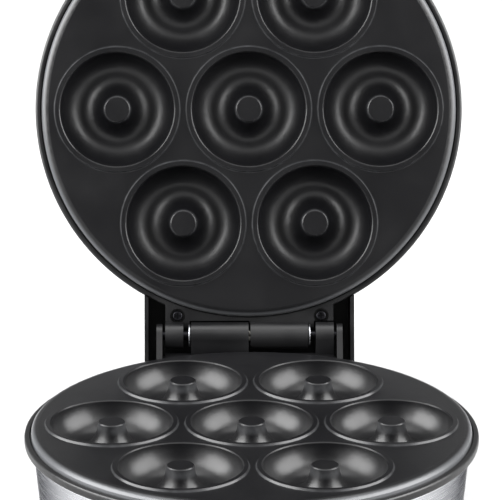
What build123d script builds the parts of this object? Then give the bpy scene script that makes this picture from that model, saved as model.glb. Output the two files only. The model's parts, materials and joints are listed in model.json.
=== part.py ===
"""A round donut maker: two cast cooking plates with seven ring moulds each, in a
steel-clad base and a steel-domed lid that open on a rear hinge.

Frame: +Z up, +Y to the rear (hinge side), origin at the centre of the round base on the
surface that it stands on. Millimetres. The lid is shown resting open on its stop: its
pieces are built closed and then swung about the hinge axis.
"""

import os
from math import cos, radians, sin

from build123d import *

# ---- driving dimensions ------------------------------------------------------------
MOULD_PITCH = 68.0  # centre to centre of neighbouring ring moulds
MOULD_TOP = 52.0  # height of the lower plate's lips and centre bosses
CLOSED_GAP = 1.0  # between the two plates' lips when the lid is shut
RIM_RADIUS = 110.4  # widest circle of the plastic rims
HINGE_Y = 117.0
HINGE_Z = 55.5
LID_OPEN = 106.5  # degrees from shut to the stop

# ---- cooking plates -----------------------------------------------------------------
PLATE_WALL = 2.6
PLATE_FACE = MOULD_TOP - 1.0  # flat cooking face, 1 mm under the lips
PLATE_RADIUS = 107.4
FLAT_RADIUS = 103.4
SKIRT_FOOT = 45.0  # lower edge of the plate's side wall
GROOVE_RADIUS = 18.1  # middle of the ring-shaped groove
GROOVE_HALF_WIDTH = 11.4
GROOVE_DEPTH = 14.0
LIP_RADIUS = 32.9
BOSS_RADIUS = GROOVE_RADIUS - GROOVE_HALF_WIDTH
POST_CIRCLE = 42.5  # cast posts stand where three moulds meet
POST_RADIUS = 3.6
CLIP_POST_ANGLES = (30, 150, 270)
SHIELD_POST_ANGLES = (90, 210, 330)
SENSOR_Y = 90.0  # cast pad for the thermostat or the fuse

# ---- heating element -----------------------------------------------------------------
HEATER_CIRCLE = 34.0
HEATER_Z = 41.0
HEATER_RADIUS = 3.25
HEATER_GAP = 24.0  # half the angle left open between the two legs, degrees
HEATER_BEND = 8.0
LEG_FOOT = 28.0
SHIELD_Z = 25.2
SHIELD_WALL = 0.8
SHIELD_RADIUS = 76.0

# ---- frames (the black rims) -----------------------------------------------------------
RIM_TOP = 47.3
RIM_FOOT = 42.8
LEDGE_RADIUS = 100.3
TAB_HALF = 43.5
TAB_FOOT = 37.0
TAB_REAR = 113.0
WEB_REAR = 116.5
LUG_SPAN = (45.0, 48.0)
BARREL_RADIUS = 6.8
BARREL_SPAN = (-30.2, -0.5)
KNUCKLE_SPAN = (34.2, 43.5)
PIN_RADIUS = 2.4
PIN_RUNNING_GAP = 0.05
WIRE_BORE = 3.6
WIRE_X = -9.0
WIRE_Z = 40.2
WIRE_Y = 113.2
WIRE_HOLE = 1.8
WIRE_RADIUS = 1.3
BRANCH_RADIUS = 1.1  # leads that branch from another wire
SCREW_X = 37.2
SCREW_Y = 107.0
EAR_ANGLES = (30, 150, 210, 330)
PLATE_SCREW_CIRCLE = 95.0
PILLAR_CIRCLE = 86.0
BOSS_FOOT = 34.0  # where the rims' bosses meet the pillars or the brackets

# ---- steel shells -----------------------------------------------------------------------
SHELL_RADIUS = 106.3
SHELL_WALL = 0.8
SHELL_TAPER = 0.095  # radius lost per millimetre away from the rim
FLOOR_Z = 5.0
DOME_FACE = 5.5  # crown of the dome, measured as the base is, rim up

# ---- hood, handles and latch ---------------------------------------------------------------
HOOD_HALF = 54.3
HOOD_WALL = 2.0
HOOD_INNER_SWEEP = 19.0  # inside of the hood's rear wall, measured from the hinge axis
HOOD_FOOT = 49.0  # measured as the base is, rim up: 56 mm above the table when shut
HOOD_TOP = 17.0
GLAND_ANGLE = 76.0
GLAND_Z = 18.0
GLAND_BORE = 3.5
HANDLE_HALF = 33.0
HANDLE_NOSE = 147.0
HANDLE_FOOT = 27.3
HANDLE_TOP = 46.8
HANDLE_SCREW_Z = 33.5
LENS_X = 8.0
LENS_Y = -120.0
LATCH_HALF = 13.0
LATCH_Y = -143.5
LATCH_Z = 38.5
LATCH_HANG = 140.0  # degrees from hooked over the lid to hanging on its stop
LATCH_PIN_RADIUS = 1.5
FOOT_CIRCLE = 80.0
HEEL_HALF = 34.0  # rear heel, under the hinge: it keeps the machine standing when open
HEEL_REAR = 154.0
HEEL_TOP = 9.4
HEEL_FEET = ((-23, 140), (23, 140))
BLOCK_X = 25.0  # terminal block
BLOCK_Y = 62.0

# ---- axes that the lid's pieces are turned about ---------------------------------------------
MIDDLE = MOULD_TOP + CLOSED_GAP / 2
FLIP_AXIS = Axis((0, 0, MIDDLE), (0, 1, 0))
LID_AXIS_Z = 2 * MIDDLE - HINGE_Z  # the hinge axis as the lid sees it, rim up
HINGE_AXIS = Axis((0, HINGE_Y, HINGE_Z), (-1, 0, 0))
LATCH_AXIS = Axis((0, LATCH_Y, LATCH_Z), (1, 0, 0))


def polar(circle, angle):
    """A point on a circle about the base's centre."""
    return circle * cos(radians(angle)), circle * sin(radians(angle))


def mould_centres():
    return [(0.0, 0.0)] + [polar(MOULD_PITCH, 60 * step) for step in range(6)]


def shell_radius(depth):
    """Outer radius of a steel wall at a depth below (or above) its rim."""
    return SHELL_RADIUS - SHELL_TAPER * depth


def save(piece, label, opened=False, flipped=False):
    """Writes one node; lid pieces are swung open, and twin pieces are turned over first."""
    shape = piece.part
    if flipped:
        shape = shape.rotate(FLIP_AXIS, 180)
    if opened:
        shape = shape.rotate(HINGE_AXIS, LID_OPEN)
    shape.label = label
    export_step(shape, f"parts/{label}.step")


def screw(x, y, z, reach, head_radius, shank_radius, up=True):
    """A pan-head screw with a cross recess; its head seats at z and it points up or down."""
    way = 1 if up else -1
    head = 1.9
    plane = Plane(origin=(x, y, z), x_dir=(1, 0, 0), z_dir=(0, 0, way))
    with BuildPart(plane) as piece:
        with Locations((0, 0, -head)):
            Cylinder(head_radius, head, align=(Align.CENTER, Align.CENTER, Align.MIN))
        edges = piece.edges().filter_by(GeomType.CIRCLE)
        fillet(edges.sort_by(Axis.Z)[0 if up else -1], 0.8)
        Cylinder(shank_radius, reach, align=(Align.CENTER, Align.CENTER, Align.MIN))
        with BuildSketch(plane.offset(-head)):
            Rectangle(head_radius * 1.1, 0.7)
            Rectangle(0.7, head_radius * 1.1)
        extrude(amount=1.1, mode=Mode.SUBTRACT)
    return piece.part


def radial_plane(circle, angle, z):
    """A plane on an upright wall, facing straight out from the centre."""
    out = Vector(*polar(1, angle), 0)
    return Plane(origin=(*polar(circle, angle), z), x_dir=(0, 0, 1), z_dir=out)


def wall_screw(circle, angle, z, reach):
    """A screw that goes outwards through a steel wall, its head on the inside."""
    plane = radial_plane(circle, angle, z)
    with BuildPart(plane) as piece:
        with Locations((0, 0, -1.9)):
            Cylinder(3.0, 1.9, align=(Align.CENTER, Align.CENTER, Align.MIN))
        Cylinder(1.45, reach, align=(Align.CENTER, Align.CENTER, Align.MIN))
        with BuildSketch(plane.offset(-1.9)):
            Rectangle(3.4, 0.7)
            Rectangle(0.7, 3.4)
        extrude(amount=1.1, mode=Mode.SUBTRACT)
    return piece.part


# ---- cooking plate: one casting, used twice -----------------------------------------------------


def cooking_plate():
    outer_width = GROOVE_HALF_WIDTH + PLATE_WALL
    outer_depth = GROOVE_DEPTH + PLATE_WALL
    back = PLATE_FACE - PLATE_WALL
    with BuildPart() as plate:
        with BuildSketch(Plane.XZ):
            with BuildLine():
                Polyline((0, back), (0, PLATE_FACE), (FLAT_RADIUS, PLATE_FACE))
                Bezier(
                    (FLAT_RADIUS, PLATE_FACE),
                    (PLATE_RADIUS - 1.2, PLATE_FACE - 0.2),
                    (PLATE_RADIUS - 0.4, PLATE_FACE - 2.4),
                )
                Polyline(
                    (PLATE_RADIUS - 0.4, PLATE_FACE - 2.4),
                    (PLATE_RADIUS, SKIRT_FOOT),
                    (PLATE_RADIUS - PLATE_WALL, SKIRT_FOOT),
                    (PLATE_RADIUS - PLATE_WALL - 0.4, back),
                    (0, back),
                )
            make_face()
        revolve(axis=Axis.Z)
        # raised lips and the walls of the seven moulds
        with BuildSketch(Plane.XZ) as wall_profile:
            with Locations((GROOVE_RADIUS, MOULD_TOP)):
                Ellipse(outer_width, outer_depth)
            with Locations((GROOVE_RADIUS, back + PLATE_WALL / 2)):
                Rectangle(
                    4 * outer_width, 2 * outer_depth, align=(Align.CENTER, Align.MIN), mode=Mode.SUBTRACT
                )
            with BuildLine():
                Polyline(
                    (0, back + 0.5),
                    (0, MOULD_TOP),
                    (LIP_RADIUS - 0.8, MOULD_TOP),
                    (LIP_RADIUS, PLATE_FACE - 0.5),
                    (LIP_RADIUS, back + 0.5),
                    close=True,
                )
            make_face()
        mould_wall = revolve(axis=Axis.Z, mode=Mode.PRIVATE)
        with Locations(*mould_centres()):
            add(mould_wall)
        # cast posts, screw pads, the heater's seat and the sensor pad on the back
        with BuildSketch(Plane.XY.offset(back)):
            with PolarLocations(POST_CIRCLE, 6, start_angle=30):
                Circle(POST_RADIUS)
        extrude(amount=HEATER_Z - HEATER_RADIUS - back)
        with BuildSketch(Plane.XY.offset(back)):
            for angle in SHIELD_POST_ANGLES:
                with Locations(polar(POST_CIRCLE, angle)):
                    Circle(POST_RADIUS)
        extrude(amount=SHIELD_Z + SHIELD_WALL - back)
        with BuildSketch(Plane.XY.offset(back)):
            for angle in EAR_ANGLES:
                with Locations(polar(PLATE_SCREW_CIRCLE, angle)):
                    Circle(4)
            with Locations((0, SENSOR_Y)):
                RectangleRounded(28, 13, 3)
        extrude(amount=SKIRT_FOOT - back)
        with BuildSketch(Plane.XY.offset(back)):
            Circle(HEATER_CIRCLE + 2.4)
            Circle(HEATER_CIRCLE - 2.4, mode=Mode.SUBTRACT)
            with BuildLine():
                Polyline((0, 0), polar(60, 90 - HEATER_GAP), polar(60, 90 + HEATER_GAP), close=True)
            make_face(mode=Mode.SUBTRACT)
        extrude(amount=HEATER_Z + 2.0 - back)
        with BuildSketch(Plane.XZ):
            with Locations((HEATER_CIRCLE, HEATER_Z)):
                Circle(HEATER_RADIUS + 0.05)
        revolve(axis=Axis.Z, mode=Mode.SUBTRACT)
        # the ring-shaped grooves
        with BuildSketch(Plane.XZ) as groove_profile:
            with Locations((GROOVE_RADIUS, MOULD_TOP)):
                Ellipse(GROOVE_HALF_WIDTH, GROOVE_DEPTH)
            with Locations((GROOVE_RADIUS, MOULD_TOP)):
                Rectangle(
                    4 * GROOVE_HALF_WIDTH,
                    2 * GROOVE_DEPTH,
                    align=(Align.CENTER, Align.MIN),
                    mode=Mode.SUBTRACT,
                )
            with BuildLine():
                Polyline(
                    (BOSS_RADIUS - 0.5, MOULD_TOP),
                    (BOSS_RADIUS, MOULD_TOP - 0.5),
                    (BOSS_RADIUS + 2 * GROOVE_HALF_WIDTH, MOULD_TOP - 0.5),
                    (BOSS_RADIUS + 2 * GROOVE_HALF_WIDTH + 0.5, MOULD_TOP),
                    close=True,
                )
            make_face()
        groove = revolve(axis=Axis.Z, mode=Mode.PRIVATE)
        with Locations(*mould_centres()):
            add(groove, mode=Mode.SUBTRACT)
        # tapped holes
        with BuildSketch(Plane.XY.offset(HEATER_Z - HEATER_RADIUS)):
            for angle in CLIP_POST_ANGLES:
                with Locations(polar(POST_CIRCLE, angle)):
                    Circle(1.5)
        extrude(amount=8, mode=Mode.SUBTRACT)
        with BuildSketch(Plane.XY.offset(SHIELD_Z + SHIELD_WALL)):
            for angle in SHIELD_POST_ANGLES:
                with Locations(polar(POST_CIRCLE, angle)):
                    Circle(1.5)
        extrude(amount=10, mode=Mode.SUBTRACT)
        with BuildSketch(Plane.XY.offset(SKIRT_FOOT)):
            for angle in EAR_ANGLES:
                with Locations(polar(PLATE_SCREW_CIRCLE, angle)):
                    Circle(1.5)
            with Locations((-10, SENSOR_Y), (10, SENSOR_Y)):
                Circle(1.2)
        extrude(amount=4, mode=Mode.SUBTRACT)
    return plate


def heater():
    """A C-shaped sheathed tube whose two ends turn away from the plate."""
    start, end = 90 + HEATER_GAP, 450 - HEATER_GAP
    with BuildPart() as tube:
        with BuildLine() as path:
            ring = CenterArc((0, 0, HEATER_Z), HEATER_CIRCLE, start, end - start)
            for tip, heading in ((ring @ 1, ring % 1), (ring @ 0, -(ring % 0))):
                turned = tip + heading * HEATER_BEND - Vector(0, 0, HEATER_BEND)
                TangentArc(tip, turned, tangent=heading)
                Line(turned, (turned.X, turned.Y, LEG_FOOT))
        first = path.wire() @ 0
        with BuildSketch(Plane(origin=first, z_dir=path.wire() % 0)):
            Circle(HEATER_RADIUS)
        sweep(path=path.wire())
    return tube


def leg_points():
    """Where the heater's two legs come down, left and right."""
    points = []
    for angle, turn in ((90 + HEATER_GAP, 1), (90 - HEATER_GAP, -1)):
        x, y = polar(HEATER_CIRCLE, angle)
        way = radians(angle)
        points.append((x + turn * HEATER_BEND * sin(way), y - turn * HEATER_BEND * cos(way)))
    return points


def heater_terminals():
    """A ceramic bead on each leg, with a flat blade out of it."""
    with BuildPart() as ends:
        for x, y in leg_points():
            with BuildSketch(Plane.XY.offset(LEG_FOOT)):
                with Locations((x, y)):
                    Circle(HEATER_RADIUS - 0.4)
            extrude(amount=-5)
            with BuildSketch(Plane.XY.offset(LEG_FOOT - 5)):
                with Locations((x, y)):
                    Rectangle(4.8, 0.8)
            extrude(amount=-7)
    return ends


def heater_clips():
    with BuildPart() as clips:
        for angle in CLIP_POST_ANGLES:
            with BuildSketch(Plane.XY.offset(HEATER_Z - HEATER_RADIUS)):
                with Locations(polar(POST_CIRCLE - 4, angle)):
                    SlotOverall(16, 8, rotation=angle)
                with Locations(polar(POST_CIRCLE, angle)):
                    Circle(1.8, mode=Mode.SUBTRACT)
            extrude(amount=-0.8)
    return clips


def heater_clip_screws():
    seat = HEATER_Z - HEATER_RADIUS - 0.8
    with BuildPart() as screws:
        for angle in CLIP_POST_ANGLES:
            add(screw(*polar(POST_CIRCLE, angle), seat, 7.0, 2.8, 1.45))
    return screws


def heat_shield():
    """A thin reflector pan under the moulds, with holes for the legs and its three screws."""
    with BuildPart() as shield:
        with BuildSketch(Plane.XZ):
            with BuildLine():
                FilletPolyline(
                    (0, SHIELD_Z), (SHIELD_RADIUS, SHIELD_Z), (SHIELD_RADIUS + 2, SHIELD_Z + 9), radius=3
                )
                offset(amount=SHIELD_WALL, side=Side.LEFT)
            make_face()
        revolve(axis=Axis.Z)
        with BuildSketch(Plane.XY.offset(SHIELD_Z - 1)):
            for point in leg_points():
                with Locations(point):
                    Circle(5.5)
            for angle in SHIELD_POST_ANGLES:
                with Locations(polar(POST_CIRCLE, angle)):
                    Circle(1.8)
        extrude(amount=5, mode=Mode.SUBTRACT)
    return shield


def heat_shield_screws():
    with BuildPart() as screws:
        for angle in SHIELD_POST_ANGLES:
            add(screw(*polar(POST_CIRCLE, angle), SHIELD_Z, 8.0, 3.0, 1.45))
    return screws


def plate_screws():
    with BuildPart() as screws:
        for angle in EAR_ANGLES:
            add(screw(*polar(PLATE_SCREW_CIRCLE, angle), RIM_FOOT, 5.0, 2.9, 1.45))
    return screws


# ---- frames: the rims, with the hinge barrels on their rear tabs -----------------------------------


def notch_spans(spans):
    """Widths cut in the lid's rim round the base's barrel and knuckle, seen rim side up."""
    return [(-high - 0.5, -low + 0.8) for low, high in spans]


def frame(axis_z, on_lid):
    """One rim, rim side up. axis_z is the hinge axis in this attitude; the lid's rim is
    notched round the base's barrel and knuckle and carries the hood's screws."""
    pin_bore = PIN_RADIUS + (PIN_RUNNING_GAP if on_lid else 0)
    with BuildPart() as rim:
        # rear tab, then the barrel and the knuckle on their webs
        with BuildSketch(Plane.YZ.offset(-TAB_HALF)):
            Polygon(
                (90, TAB_FOOT),
                (TAB_REAR - 2.6, TAB_FOOT),
                (TAB_REAR, TAB_FOOT + 2.6),
                (TAB_REAR, RIM_TOP),
                (90, RIM_TOP),
                align=None,
            )
        extrude(amount=2 * TAB_HALF)
        for low, high in (BARREL_SPAN, KNUCKLE_SPAN):
            with BuildSketch(Plane.YZ.offset(low)):
                with Locations((HINGE_Y, axis_z)):
                    Circle(BARREL_RADIUS)
                Polygon(
                    (HINGE_Y - BARREL_RADIUS, axis_z),
                    (HINGE_Y - BARREL_RADIUS, TAB_FOOT + 1),
                    (WEB_REAR, TAB_FOOT + 1),
                    (HINGE_Y + BARREL_RADIUS - 1.4, axis_z - 4.2),
                    (HINGE_Y, axis_z),
                    align=None,
                )
            extrude(amount=high - low)
        if on_lid:
            with BuildSketch(Plane.XY.offset(TAB_FOOT - 1)):
                for low, high in notch_spans((BARREL_SPAN, KNUCKLE_SPAN)):
                    with Locations(((low + high) / 2, HINGE_Y - BARREL_RADIUS - 0.7)):
                        Rectangle(high - low, 20, align=(Align.CENTER, Align.MIN))
            extrude(amount=30, mode=Mode.SUBTRACT)
        else:
            add(hinge_lugs(axis_z))
        # room for the steel wall, its rolled edge and the plate
        for circle, low, high in (
            (SHELL_RADIUS + 0.5, TAB_FOOT - 4, RIM_FOOT),
            (SHELL_RADIUS + 3.0, RIM_FOOT - 1.1, RIM_FOOT),
            (PLATE_RADIUS + 0.5, RIM_FOOT, RIM_TOP + 1),
        ):
            with BuildSketch(Plane.XY.offset(low)):
                Circle(circle)
            extrude(amount=high - low, mode=Mode.SUBTRACT)
        with BuildSketch(Plane.XZ):
            with BuildLine():
                Polyline(
                    (RIM_RADIUS - 1.5, RIM_TOP),
                    (PLATE_RADIUS + 0.5, RIM_TOP),
                    (PLATE_RADIUS + 0.5, SKIRT_FOOT),
                    (LEDGE_RADIUS, SKIRT_FOOT),
                    (LEDGE_RADIUS, RIM_FOOT),
                    (SHELL_RADIUS - 3.0, RIM_FOOT),
                    (SHELL_RADIUS - 3.0, RIM_FOOT - 5),
                    (SHELL_RADIUS - 1.9, RIM_FOOT - 5),
                    (SHELL_RADIUS - 1.5, RIM_FOOT),
                    (RIM_RADIUS - 0.9, RIM_FOOT),
                )
                Spline(
                    (RIM_RADIUS - 0.9, RIM_FOOT),
                    (RIM_RADIUS, (RIM_TOP + RIM_FOOT) / 2),
                    (RIM_RADIUS - 1.5, RIM_TOP),
                    tangents=[(1, 0.5), (-1, 0)],
                )
            make_face()
        revolve(axis=Axis.Z)
        if on_lid:
            low, high = notch_spans((BARREL_SPAN,))[0]
            with BuildSketch(Plane.XY.offset(RIM_FOOT - 1)):
                with Locations(((low + high) / 2, HINGE_Y - BARREL_RADIUS - 0.7)):
                    Rectangle(high - low, 20, align=(Align.CENTER, Align.MIN))
            extrude(amount=10, mode=Mode.SUBTRACT)
        add(frame_ears(on_lid))
        if on_lid:
            for radius, depth in ((3.9, 2.5), (1.8, 12)):
                with BuildSketch(Plane.XY.offset(RIM_TOP)):
                    with Locations((-SCREW_X, SCREW_Y), (SCREW_X, SCREW_Y)):
                        Circle(radius)
                extrude(amount=-depth, mode=Mode.SUBTRACT)
        # pin bores, then the wires' way from the barrel into the shell
        for start, length in ((BARREL_SPAN[0], 10), (KNUCKLE_SPAN[0] - 1, 20)):
            with BuildSketch(Plane.YZ.offset(start)):
                with Locations((HINGE_Y, axis_z)):
                    Circle(pin_bore)
            extrude(amount=length, mode=Mode.SUBTRACT)
        if not on_lid:
            with BuildSketch(Plane.YZ.offset(-LUG_SPAN[1])):
                with Locations((HINGE_Y, axis_z)):
                    Circle(pin_bore)
            extrude(amount=LUG_SPAN[1] - LUG_SPAN[0], mode=Mode.SUBTRACT)
        with BuildSketch(Plane.YZ.offset(BARREL_SPAN[1])):
            with Locations((HINGE_Y, axis_z)):
                Circle(WIRE_BORE)
        extrude(amount=-17, mode=Mode.SUBTRACT)
        with BuildSketch(Plane.XY.offset(WIRE_Z)):
            with Locations((WIRE_X, WIRE_Y)):
                Circle(WIRE_HOLE)
        extrude(amount=axis_z - WIRE_Z, mode=Mode.SUBTRACT)
        with BuildSketch(Plane.XZ.offset(-WIRE_Y)):
            with Locations((WIRE_X, WIRE_Z)):
                Circle(WIRE_HOLE)
        extrude(amount=WIRE_Y - 98, mode=Mode.SUBTRACT)
        with Locations((WIRE_X, WIRE_Y, WIRE_Z)):
            Sphere(WIRE_HOLE, mode=Mode.SUBTRACT)
    return rim


def hinge_lugs(axis_z):
    """The two ribs beside the hinge: they hold the pins' outer ends and stop the lid."""
    with BuildPart() as lugs:
        for side in (-1, 1):
            inner, outer = side * LUG_SPAN[0], side * LUG_SPAN[1]
            with BuildSketch(Plane.YZ.offset(min(inner, outer))):
                with Locations((HINGE_Y, axis_z)):
                    Circle(6)
                Polygon(
                    (97, 41.5),
                    (97, 46.5),
                    (104, 47),
                    (HINGE_Y - 4.9, axis_z + 3.4),
                    (HINGE_Y + 5.4, axis_z - 2.6),
                    (114.5, 39.5),
                    (112.3, 39.2),
                    (111.0, 34.8),
                    (107, 34.8),
                    (104, 38),
                    align=None,
                )
            extrude(amount=LUG_SPAN[1] - LUG_SPAN[0])
            with BuildSketch(Plane.YZ.offset(min(side * (TAB_HALF - 1), outer))):
                Polygon((97, 39), (97, 46.5), (111, 46.5), (111, 39), align=None)
            extrude(amount=LUG_SPAN[1] - TAB_HALF + 1)
    return lugs.part


def frame_ears(on_lid):
    """Ears for the plate's screws, each with a boss that the shell is drawn up to."""
    with BuildPart() as ears:
        for angle in EAR_ANGLES:
            low, high = PILLAR_CIRCLE - 5.5, LEDGE_RADIUS + 1
            with BuildSketch(Plane.XY.offset(RIM_FOOT)):
                with Locations(Location(Vector(*polar((low + high) / 2, angle)), angle)):
                    Rectangle(high - low, 11)
            extrude(amount=SKIRT_FOOT - RIM_FOOT)
            with BuildSketch(Plane.XY.offset(BOSS_FOOT)):
                with Locations(polar(PILLAR_CIRCLE, angle)):
                    Circle(4.5)
            extrude(amount=RIM_FOOT - BOSS_FOOT)
            with BuildSketch(Plane.XY.offset(BOSS_FOOT)):
                with Locations(polar(PILLAR_CIRCLE, angle)):
                    Circle(1.8 if on_lid else 1.45)
            extrude(amount=(SKIRT_FOOT if on_lid else RIM_FOOT) - BOSS_FOOT, mode=Mode.SUBTRACT)
            with BuildSketch(Plane.XY.offset(RIM_FOOT)):
                with Locations(polar(PLATE_SCREW_CIRCLE, angle)):
                    Circle(1.8)
            extrude(amount=SKIRT_FOOT - RIM_FOOT, mode=Mode.SUBTRACT)
    return ears.part


# ---- steel shells --------------------------------------------------------------------------------


def rolled_edge():
    """The thin lip of steel turned out under the rim."""
    with BuildPart() as edge:
        with BuildSketch(Plane.XY.offset(RIM_FOOT - SHELL_WALL)):
            Circle(SHELL_RADIUS + 2.7)
            Circle(SHELL_RADIUS - SHELL_WALL, mode=Mode.SUBTRACT)
        extrude(amount=SHELL_WALL)
    return edge.part


def wall_openings():
    """Holes through a steel wall: the hinge wires' slot and the handle's screws."""
    with BuildPart() as openings:
        with BuildSketch(Plane.XZ.offset(-SHELL_RADIUS - 4)):
            with Locations((WIRE_X, RIM_FOOT)):
                Rectangle(6, 5.2, align=(Align.CENTER, Align.MAX))
        extrude(amount=12)
        for angle in (-102, -78):
            with BuildSketch(radial_plane(100, angle, HANDLE_SCREW_Z)):
                Circle(1.8)
            extrude(amount=8)
    return openings.part


def base_shell():
    depth = RIM_FOOT - FLOOR_Z
    with BuildPart() as shell:
        with BuildSketch(Plane.XZ):
            with BuildLine():
                FilletPolyline(
                    (SHELL_RADIUS, RIM_FOOT - 0.4), (shell_radius(depth), FLOOR_Z), (91, FLOOR_Z), radius=4
                )
                offset(amount=SHELL_WALL, side=Side.RIGHT)
            make_face()
        revolve(axis=Axis.Z)
        add(rolled_edge())
        add(wall_openings(), mode=Mode.SUBTRACT)
        with BuildSketch(radial_plane(95, GLAND_ANGLE, GLAND_Z)):
            Circle(5.6)
        extrude(amount=14, mode=Mode.SUBTRACT)
    return shell


def lid_shell():
    """The dome, rim up: drawn steel with four brackets welded inside."""
    with BuildPart() as shell:
        with BuildSketch(Plane.XZ):
            with BuildLine():
                FilletPolyline(
                    (SHELL_RADIUS, RIM_FOOT - 0.4),
                    (shell_radius(RIM_FOOT - DOME_FACE), DOME_FACE + 1.5),
                    (20, DOME_FACE),
                    (0, DOME_FACE),
                    radius=(11, 400),
                )
                offset(amount=SHELL_WALL, side=Side.RIGHT)
            make_face()
        revolve(axis=Axis.Z)
        add(rolled_edge())
        for angle in EAR_ANGLES:
            low, high = PILLAR_CIRCLE - 5, shell_radius(RIM_FOOT - BOSS_FOOT) - 0.3
            with BuildSketch(Plane.XY.offset(BOSS_FOOT - SHELL_WALL)):
                with Locations(Location(Vector(*polar((low + high) / 2, angle)), angle)):
                    Rectangle(high - low, 10)
            extrude(amount=SHELL_WALL)
            with BuildSketch(Plane.XY.offset(BOSS_FOOT - SHELL_WALL)):
                with Locations(polar(PILLAR_CIRCLE, angle)):
                    Circle(1.45)
            extrude(amount=SHELL_WALL, mode=Mode.SUBTRACT)
        add(wall_openings(), mode=Mode.SUBTRACT)
        with BuildSketch(radial_plane(100, -90, 35)):
            Circle(2.5)
        extrude(amount=8, mode=Mode.SUBTRACT)
    return shell


def lid_frame_screws():
    """Hold the dome's brackets to the lid's rim; driven from the plate side."""
    with BuildPart() as screws:
        for angle in EAR_ANGLES:
            add(screw(*polar(PILLAR_CIRCLE, angle), SKIRT_FOOT, 13, 3.0, 1.45, up=False))
    return screws


def heel_outline(front, inset):
    """Corners of the heel in plan, from a front line back to its bevelled rear."""
    half, rear = HEEL_HALF - inset, HEEL_REAR - inset
    right = [(half, front), (half, rear - 8), (half - 8, rear)]
    return right + [(-x, y) for x, y in reversed(right)]


def bottom_cover():
    """The plastic floor, with vent slots, four pillars, the feet's sockets and the rear heel."""
    with BuildPart() as cover:
        with BuildSketch(Plane.XY.offset(FLOOR_Z - 2)):
            Circle(98)
            with PolarLocations(FOOT_CIRCLE, 4, start_angle=45):
                Circle(3.5, mode=Mode.SUBTRACT)
            with GridLocations(0, 7, 1, 9):
                SlotOverall(64, 3.2, mode=Mode.SUBTRACT)
        extrude(amount=2)
        chamfer(cover.edges().filter_by(GeomType.CIRCLE).sort_by(SortBy.RADIUS)[-2:].sort_by(Axis.Z)[0], 0.8)
        with BuildSketch(Plane.XY.offset(FLOOR_Z - 2)):
            for angle in EAR_ANGLES:
                with Locations(polar(PILLAR_CIRCLE, angle)):
                    Circle(4.5)
        extrude(amount=BOSS_FOOT - FLOOR_Z + 2)
        for radius, low, high in ((3.4, FLOOR_Z - 2, 9), (1.8, 9, BOSS_FOOT)):
            with BuildSketch(Plane.XY.offset(low)):
                for angle in EAR_ANGLES:
                    with Locations(polar(PILLAR_CIRCLE, angle)):
                        Circle(radius)
            extrude(amount=high - low, mode=Mode.SUBTRACT)
        # the rear heel: a tongue under the wall that rises to a hollow block behind it
        for outline, low, high, mode in (
            (heel_outline(85, 0), FLOOR_Z - 2, FLOOR_Z, Mode.ADD),
            (heel_outline(105.5, 0), FLOOR_Z, HEEL_TOP, Mode.ADD),
            (heel_outline(105, 2), FLOOR_Z, HEEL_TOP - 2, Mode.SUBTRACT),
        ):
            with BuildSketch(Plane.XY.offset(low)):
                Polygon(*outline, align=None)
            extrude(amount=high - low, mode=mode)
        rear_edges = cover.edges().filter_by_position(Axis.Y, 120, 160)
        chamfer(rear_edges.filter_by_position(Axis.Z, HEEL_TOP - 0.1, HEEL_TOP + 0.1), 0.8)
        with BuildSketch(Plane.XY.offset(FLOOR_Z - 2)):
            with Locations(*HEEL_FEET):
                Circle(3.5)
        extrude(amount=2, mode=Mode.SUBTRACT)
    return cover


def bottom_cover_screws():
    with BuildPart() as screws:
        for angle in EAR_ANGLES:
            add(screw(*polar(PILLAR_CIRCLE, angle), 9, 32, 3.0, 1.45))
    return screws


def rubber_feet():
    """Each foot's stem is pushed through the floor and holds by its own collar."""
    with BuildPart() as feet:
        with BuildSketch(Plane.XZ):
            Polygon(
                (0, 0),
                (8.2, 0),
                (9, 0.8),
                (9, FLOOR_Z - 2),
                (3.5, FLOOR_Z - 2),
                (3.5, FLOOR_Z),
                (4.4, FLOOR_Z),
                (3, FLOOR_Z + 2),
                (0, FLOOR_Z + 2),
                align=None,
            )
        foot = revolve(axis=Axis.Z, mode=Mode.PRIVATE)
        with PolarLocations(FOOT_CIRCLE, 4, start_angle=45):
            add(foot)
        with Locations(*HEEL_FEET):
            add(foot)
    return feet


# ---- hinge pins, hood, gland ------------------------------------------------------------------------


def hinge_pin(left):
    """A short steel pin pressed through a lug, with its inner end in a barrel."""
    inner = abs(BARREL_SPAN[0]) - 9.5
    with BuildPart() as pin:
        with BuildSketch(Plane.YZ.offset(-LUG_SPAN[1] if left else inner)):
            with Locations((HINGE_Y, HINGE_Z)):
                Circle(PIN_RADIUS)
        extrude(amount=LUG_SPAN[1] - inner)
        chamfer(pin.edges().filter_by(GeomType.CIRCLE), 0.3)
    return pin


def rim_envelope(gap):
    """Everything inside the rim and the steel wall, a little oversize, to trim pieces to."""
    edge = SHELL_RADIUS + 2.7 + gap
    with BuildPart() as envelope:
        with BuildSketch(Plane.XZ):
            Polygon(
                (0, 0),
                (0, 60),
                (RIM_RADIUS + gap, 60),
                (RIM_RADIUS + gap, RIM_FOOT - gap),
                (edge, RIM_FOOT - gap),
                (edge, RIM_FOOT - SHELL_WALL - gap),
                (SHELL_RADIUS + gap, RIM_FOOT - SHELL_WALL - gap),
                (shell_radius(RIM_FOOT) + gap, 0),
                align=None,
            )
        revolve(axis=Axis.Z)
    return envelope.part


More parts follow.
